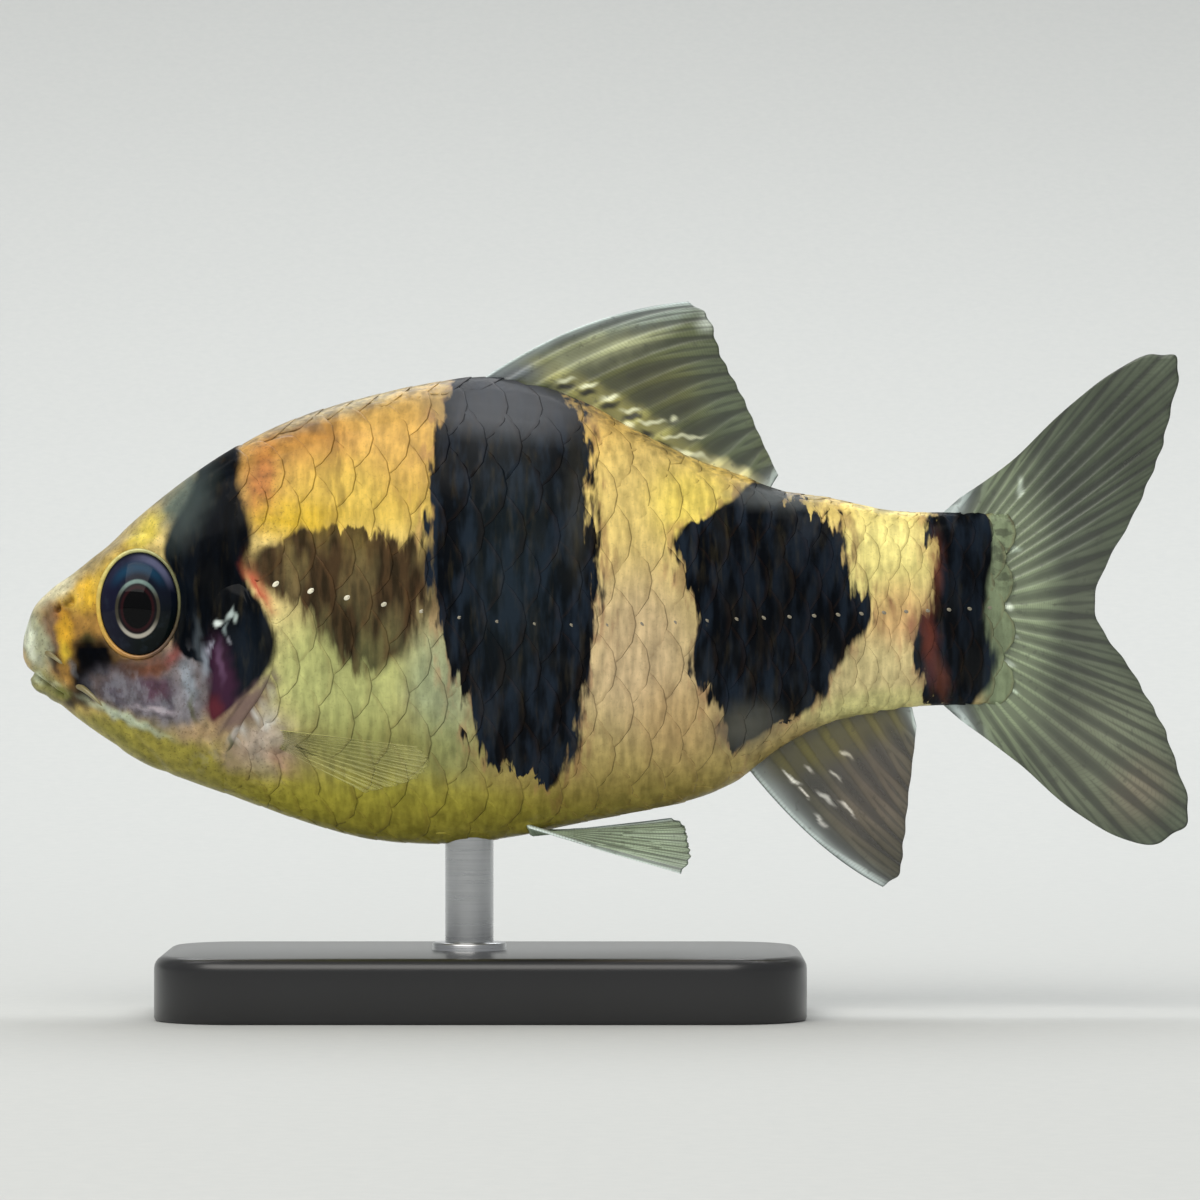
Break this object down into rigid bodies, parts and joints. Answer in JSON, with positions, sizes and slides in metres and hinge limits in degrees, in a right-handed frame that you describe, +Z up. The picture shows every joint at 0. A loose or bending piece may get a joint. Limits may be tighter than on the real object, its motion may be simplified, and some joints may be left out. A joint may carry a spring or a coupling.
{
  "type": "melon barb fish model",
  "caption": "Life-size model of a deep-bodied banded barb swimming level, with rayed fins, held by one rod on a flat display base.",
  "frame": {"origin": "centre of the whole model's box at the underside of the stand's base", "axes": "-X is the way the fish swims, -Y is its left side, +Z is up"},
  "size_m": [0.0727, 0.022, 0.0443],
  "materials": {
    "head_skin": "wet satin skin, yellow with black bars",
    "flank_skin": "large glossy scales, golden with black bands",
    "gill_cover": "smooth and glossy, blue-black to silver",
    "eye": "clear wet gloss over a dark iris",
    "fin": "thin, clear, with pale rays",
    "stand_base": "satin black",
    "stand_rod": "fine brushed"
  },
  "bodies": {
    "root": {"head": "head_skin", "gill_cover_left": "gill_cover", "gill_cover_right": "gill_cover", "eye_left": "eye", "eye_right": "eye", "trunk": "flank_skin", "tail": "flank_skin", "dorsal_fin": "fin", "anal_fin": "fin", "tail_fin": "fin", "pelvic_fin_left": "fin", "pelvic_fin_right": "fin", "pectoral_fin_left": "fin", "pectoral_fin_right": "fin", "stand_base": "stand_base", "stand_rod": "stand_rod"}
  },
  "joints": []
}
